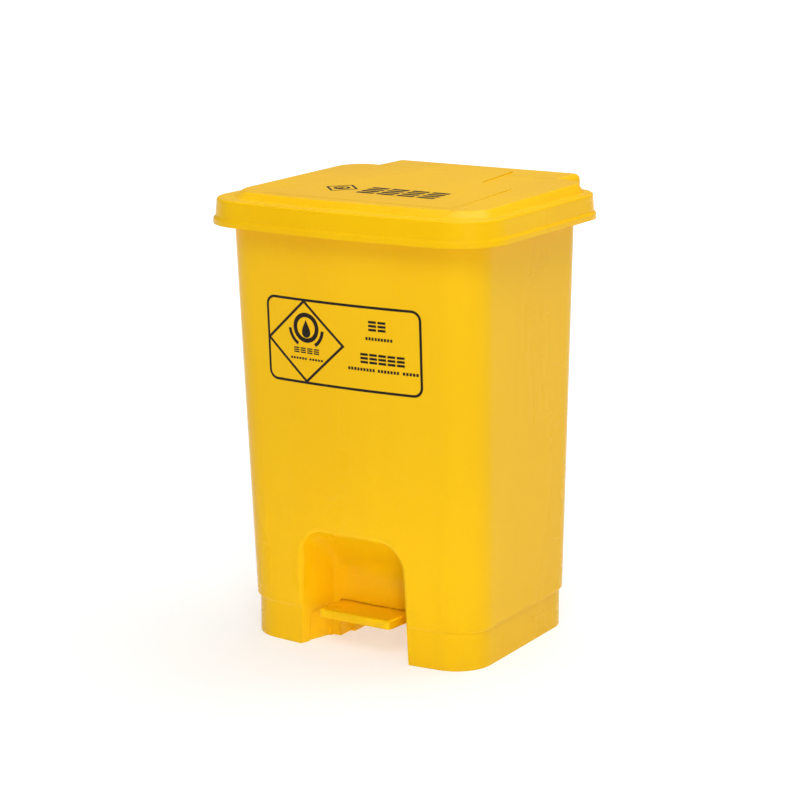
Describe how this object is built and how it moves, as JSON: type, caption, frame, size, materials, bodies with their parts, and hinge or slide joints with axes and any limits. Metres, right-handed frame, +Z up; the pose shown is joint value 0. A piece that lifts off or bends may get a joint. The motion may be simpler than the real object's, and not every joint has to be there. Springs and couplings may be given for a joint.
{
  "type": "pedal bin",
  "caption": "Yellow moulded pedal bin for clinical waste, with a hinged lid, a foot recess, a pedal lever and a push rod behind the back wall.",
  "frame": {"origin": "middle of the footprint, on the floor", "axes": "+Z up, the pedal and the front face -Y, +X to the right seen from the front"},
  "size_m": [0.3056, 0.2958, 0.4329],
  "materials": {
    "yellow_plastic": "satin gloss moulded polypropylene",
    "nylon": "natural moulded nylon",
    "zinc_steel": "zinc plated",
    "bright_steel": "bright drawn wire",
    "spring_steel": "black phosphated spring steel",
    "printed_ink": "screen printed"
  },
  "bodies": {
    "bin": {"barrel": "yellow_plastic", "rear_cover": "yellow_plastic", "rear_cover_screws": "zinc_steel", "rod_guide_lower": "nylon", "rod_guide_upper": "nylon", "rod_guide_screws": "zinc_steel", "pedal_axle": "bright_steel", "pedal_axle_clips": "spring_steel", "hinge_pin_right": "bright_steel", "hinge_pin_left": "bright_steel", "hinge_pin_clips": "spring_steel"},
    "lid": {"lid": "yellow_plastic", "lid_crank": "zinc_steel", "lid_crank_screws": "zinc_steel"},
    "pedal": {"pedal_lever": "yellow_plastic"},
    "rod": {"push_rod": "bright_steel", "push_rod_clips": "spring_steel"}
  },
  "joints": [
    {"name": "lid_hinge", "type": "hinge", "parent": "bin", "child": "lid", "pos_m": [0, 0.12425, 0.412], "axis": [-1, 0, 0], "range_deg": [0, 75]},
    {"name": "pedal_pivot", "type": "hinge", "parent": "bin", "child": "pedal", "pos_m": [0, 0.02, 0.027], "axis": [1, 0, 0], "range_deg": [0, 13.3]},
    {"name": "rod_slide", "type": "slide", "parent": "bin", "child": "rod", "axis": [0, 0, 1], "range_m": [0, 0.0211]}
  ],
  "couplings": [
    {"joint": "pedal_pivot", "follows": "lid_hinge", "ratio": 0.17733},
    {"joint": "rod_slide", "follows": "lid_hinge", "m_per_rad": 0.016121}
  ]
}
